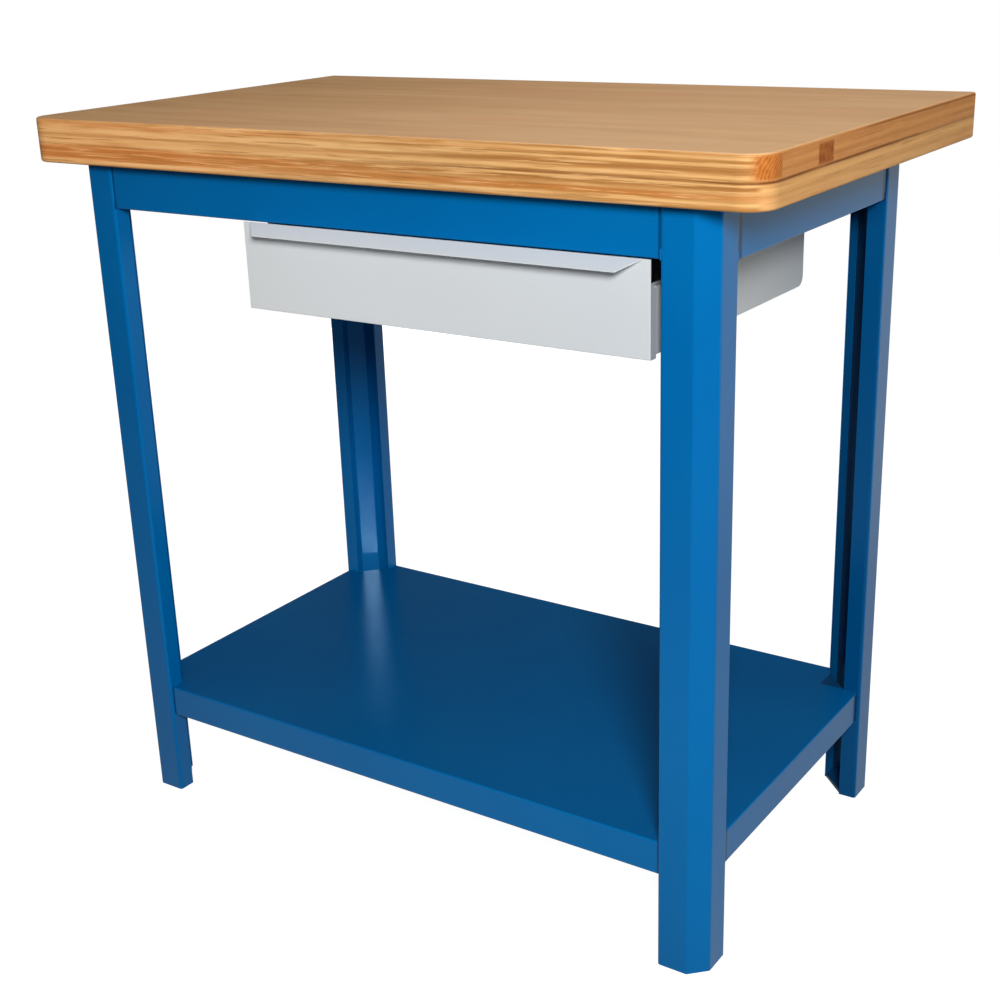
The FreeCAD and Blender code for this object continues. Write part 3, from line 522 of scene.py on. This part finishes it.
def floor_material():
    """Seen white apart from the bench's shadow, and mirrored darker towards the front and left."""
    material = bpy.data.materials.new("floor_pale")
    material.use_nodes = True
    material.node_tree.nodes.clear()
    nodes = Nodes(material.node_tree)
    place = nodes.node("ShaderNodeTexCoord").outputs["Object"]
    x, y = nodes.split(place)[:2]
    ahead = nodes.product(nodes.smooth(y, -2.4, -0.7, 0.04, 0.72), nodes.smooth(x, -1.2, -0.1, 0.3, 1.0))
    beside = nodes.smooth(nodes.distance(place, DIM_SPOT), 0.3, 1.5, 0.55, 1.0)
    mirrored = nodes.node("ShaderNodeVectorMath", {
        0: FLOOR_IN_GLOSS, "Scale": nodes.product(ahead, beside)}, operation="SCALE").outputs[0]
    hue = nodes.mix(nodes.met_by("Glossy"), grey(FLOOR_SEEN), mirrored)
    glow = nodes.node("ShaderNodeEmission", {"Color": hue}).outputs[0]
    shaded = nodes.node("ShaderNodeBsdfDiffuse", {"Color": grey(FLOOR_SHADED)}).outputs[0]
    cloth = nodes.node("ShaderNodeBsdfDiffuse", {"Color": grey(FLOOR_CLOTH)}).outputs[0]
    seen = nodes.node("ShaderNodeAddShader", {0: shaded, 1: glow}).outputs[0]
    looked_at = nodes.met_by("Camera", "Glossy", "Transmission")
    mixed = nodes.node("ShaderNodeMixShader", {0: looked_at, 1: cloth, 2: seen}).outputs[0]
    nodes.node("ShaderNodeOutputMaterial", {"Surface": mixed})
    return material


def floor():
    """A large level square under the bench."""
    signs = ((-1, -1), (1, -1), (1, 1), (-1, 1))
    corners = [(x * FLOOR_HALF, y * FLOOR_HALF, FLOOR_LEVEL) for x, y in signs]
    mesh = bpy.data.meshes.new("floor")
    mesh.from_pydata(corners, [], [(0, 1, 2, 3)])
    mesh.materials.append(floor_material())
    plane = bpy.data.objects.new("floor", mesh)
    bpy.context.scene.collection.objects.link(plane)


def studio_world():
    """A dim room with a light ceiling, and a white sweep behind the object."""
    world = bpy.data.worlds.new("studio")
    world.use_nodes = True
    bpy.context.scene.world = world
    nodes = Nodes(world.node_tree)
    direction = nodes.node("ShaderNodeTexCoord").outputs["Generated"]
    elevation = nodes.split(direction)[2]

    def by_elevation(stops):
        return nodes.ramp(elevation, [(sine, grey(level)) for sine, level in stops])

    room = nodes.mix(nodes.met_by("Glossy"), by_elevation(ROOM_LIGHT), by_elevation(ROOM_IN_GLOSS))
    seen = nodes.mix(nodes.met_by("Camera", "Transmission"), room, grey(1))
    nodes.feed(world.node_tree.nodes["Background"].inputs["Color"], seen)


# ---------------------------------------------------------------- lamps and camera
# Round area lamps: name, place, aim, diameter in metres, power in watts.
SOFT_LAMPS = [
    ("key", (1.5, -1.95, 1.68), (0.0, 0.0, 0.6), 0.65, 55),
    ("overhead", (0.3, 0.12, 2.2), (0.3, 0.12, 0.0), 0.8, 7.4),
    ("side", (2.6, 0.2, 0.6), (0.4, 0.0, 0.7), 1.6, 5),
    ("rear", (-1.9, 2.1, 0.3), (0.0, 0.0, 0.45), 1.4, 30),
]
# The narrow warm beam that the shelf and the rear left leg mirror as a bright streak.
GLINT_PLACE = (1.3, -1.3, 1.0)
GLINT_AIM = (-0.42, 0.22, 0.25)
GLINT_CONE = 12  # degrees
GLINT_SOFTNESS = 0.12
GLINT_POWER = 900
GLINT_TINT = (1.0, 0.66, 0.38)

CAMERA_PLACE = (1.09329, -1.60885, 1.1218)
CAMERA_AZIMUTH = math.radians(34.418)  # from straight ahead of the bench, to its right
CAMERA_DOWN = math.radians(19.963)
CAMERA_ROLL = math.radians(-1.912)
FOCAL_LENGTH = 55.703  # mm
SENSOR_WIDTH = 36.0  # mm
VIEW_DEPTH = 200  # metres


def hang(name, lamp, place, aim):
    """Put a lamp in the scene, turned to its aim."""
    holder = bpy.data.objects.new(name, lamp)
    holder.location = place
    holder.rotation_euler = (Vector(aim) - Vector(place)).to_track_quat("-Z", "Y").to_euler()
    bpy.context.scene.collection.objects.link(holder)
    return holder


def soft_lamps():
    """The area lamps; the rear one fills the far side, and no gloss mirrors it."""
    for name, place, aim, diameter, power in SOFT_LAMPS:
        lamp = bpy.data.lights.new(name, "AREA")
        lamp.shape = "DISK"
        lamp.size = diameter
        lamp.energy = power
        holder = hang(name, lamp, place, aim)
        if name == "rear":
            holder.visible_camera = False
            holder.visible_glossy = False


def glint_lamp():
    """A soft-edged spot that is seen in gloss alone."""
    lamp = bpy.data.lights.new("glint", "SPOT")
    lamp.spot_size = math.radians(GLINT_CONE)
    lamp.spot_blend = 1.0
    lamp.shadow_soft_size = GLINT_SOFTNESS
    lamp.energy = GLINT_POWER
    lamp.color = GLINT_TINT
    hang("glint", lamp, GLINT_PLACE, GLINT_AIM).visible_diffuse = False


def camera():
    """Right of the bench's front, a little above its top, held slightly tilted."""
    level = Vector((math.cos(CAMERA_AZIMUTH), math.sin(CAMERA_AZIMUTH), 0))
    ahead = Vector((-math.sin(CAMERA_AZIMUTH), math.cos(CAMERA_AZIMUTH), 0))
    forward = math.cos(CAMERA_DOWN) * ahead - math.sin(CAMERA_DOWN) * Vector((0, 0, 1))
    upright = level.cross(forward)
    right = math.cos(CAMERA_ROLL) * level + math.sin(CAMERA_ROLL) * upright
    up = -math.sin(CAMERA_ROLL) * level + math.cos(CAMERA_ROLL) * upright
    turn = Matrix((right, up, -forward)).transposed().to_4x4()
    lens = bpy.data.cameras.new("camera")
    lens.lens = FOCAL_LENGTH
    lens.sensor_width = SENSOR_WIDTH
    lens.clip_end = VIEW_DEPTH
    holder = bpy.data.objects.new("camera", lens)
    holder.matrix_world = Matrix.Translation(CAMERA_PLACE) @ turn
    bpy.context.scene.collection.objects.link(holder)
    bpy.context.scene.camera = holder


floor()
studio_world()
soft_lamps()
glint_lamp()
camera()
bpy.context.scene.view_settings.view_transform = "Standard"
